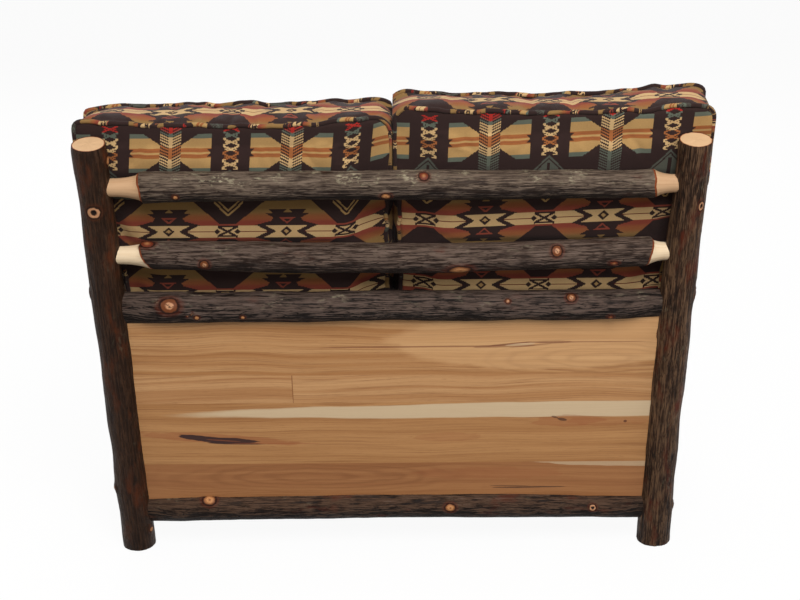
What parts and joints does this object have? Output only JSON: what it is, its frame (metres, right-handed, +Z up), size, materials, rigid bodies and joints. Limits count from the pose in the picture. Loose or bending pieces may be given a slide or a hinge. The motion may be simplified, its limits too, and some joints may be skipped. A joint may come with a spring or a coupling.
{
  "type": "log loveseat",
  "caption": "Loveseat of bark-covered logs with round tenon joints, wooden boards let into grooves, a slatted seat and loose boxed cushions against a leaning back.",
  "frame": {"origin": "on the floor, under the middle of the whole piece", "axes": "+Z up, +Y towards the back, +X towards the sitter's left; the front faces -Y"},
  "size_m": [1.2096, 0.8698, 1.0314],
  "materials": {
    "bark_log": "lacquered bark",
    "hickory_board": "satin lacquer",
    "slat_wood": "planed",
    "screw_steel": "zinc plated",
    "cover_fabric": "woven",
    "foam": "open-cell foam"
  },
  "bodies": {
    "frame": {"arm_log_left": "bark_log", "arm_log_right": "bark_log", "back_board_1": "hickory_board", "back_board_2_left": "hickory_board", "back_board_2_right": "hickory_board", "back_board_3": "hickory_board", "back_board_4": "hickory_board", "back_post_left": "bark_log", "back_post_right": "bark_log", "back_rail_bottom": "bark_log", "back_rail_lower": "bark_log", "back_rail_middle": "bark_log", "back_rail_top": "bark_log", "cleat_screws": "screw_steel", "front_board_1": "hickory_board", "front_board_2": "hickory_board", "front_post_left": "bark_log", "front_post_right": "bark_log", "front_rail_bottom": "bark_log", "front_rail_upper": "bark_log", "seat_cleat_back": "slat_wood", "seat_cleat_front": "slat_wood", "seat_cleat_left": "slat_wood", "seat_cleat_right": "slat_wood", "seat_slat_1": "slat_wood", "seat_slat_2": "slat_wood", "seat_slat_3": "slat_wood", "seat_slat_4": "slat_wood", "seat_slat_5": "slat_wood", "seat_slat_6": "slat_wood", "seat_slat_7": "slat_wood", "seat_slat_8": "slat_wood", "seat_slat_9": "slat_wood", "side_board_left_1": "hickory_board", "side_board_left_2": "hickory_board", "side_board_left_3": "hickory_board", "side_board_right_1": "hickory_board", "side_board_right_2": "hickory_board", "side_board_right_3": "hickory_board", "side_rail_bottom_left": "bark_log", "side_rail_bottom_right": "bark_log", "slat_screws": "screw_steel"},
    "seat_cushion_left": {"seat_cushion_cover_left": "cover_fabric", "seat_cushion_core_left": "foam"},
    "seat_cushion_right": {"seat_cushion_cover_right": "cover_fabric", "seat_cushion_core_right": "foam"},
    "back_cushion_left": {"back_cushion_cover_left": "cover_fabric", "back_cushion_core_left": "foam"},
    "back_cushion_right": {"back_cushion_cover_right": "cover_fabric", "back_cushion_core_right": "foam"}
  },
  "joints": [
    {"name": "seat_cushion_left_lift", "type": "slide", "parent": "frame", "child": "seat_cushion_left", "axis": [0, 0, 1], "range_m": [0, 0.42]},
    {"name": "back_cushion_left_lift", "type": "slide", "parent": "seat_cushion_left", "child": "back_cushion_left", "axis": [0, 0.2079, 0.9781], "range_m": [0, 0.56]},
    {"name": "seat_cushion_right_lift", "type": "slide", "parent": "frame", "child": "seat_cushion_right", "axis": [0, 0, 1], "range_m": [0, 0.42]},
    {"name": "back_cushion_right_lift", "type": "slide", "parent": "seat_cushion_right", "child": "back_cushion_right", "axis": [0, 0.2079, 0.9781], "range_m": [0, 0.56]}
  ]
}
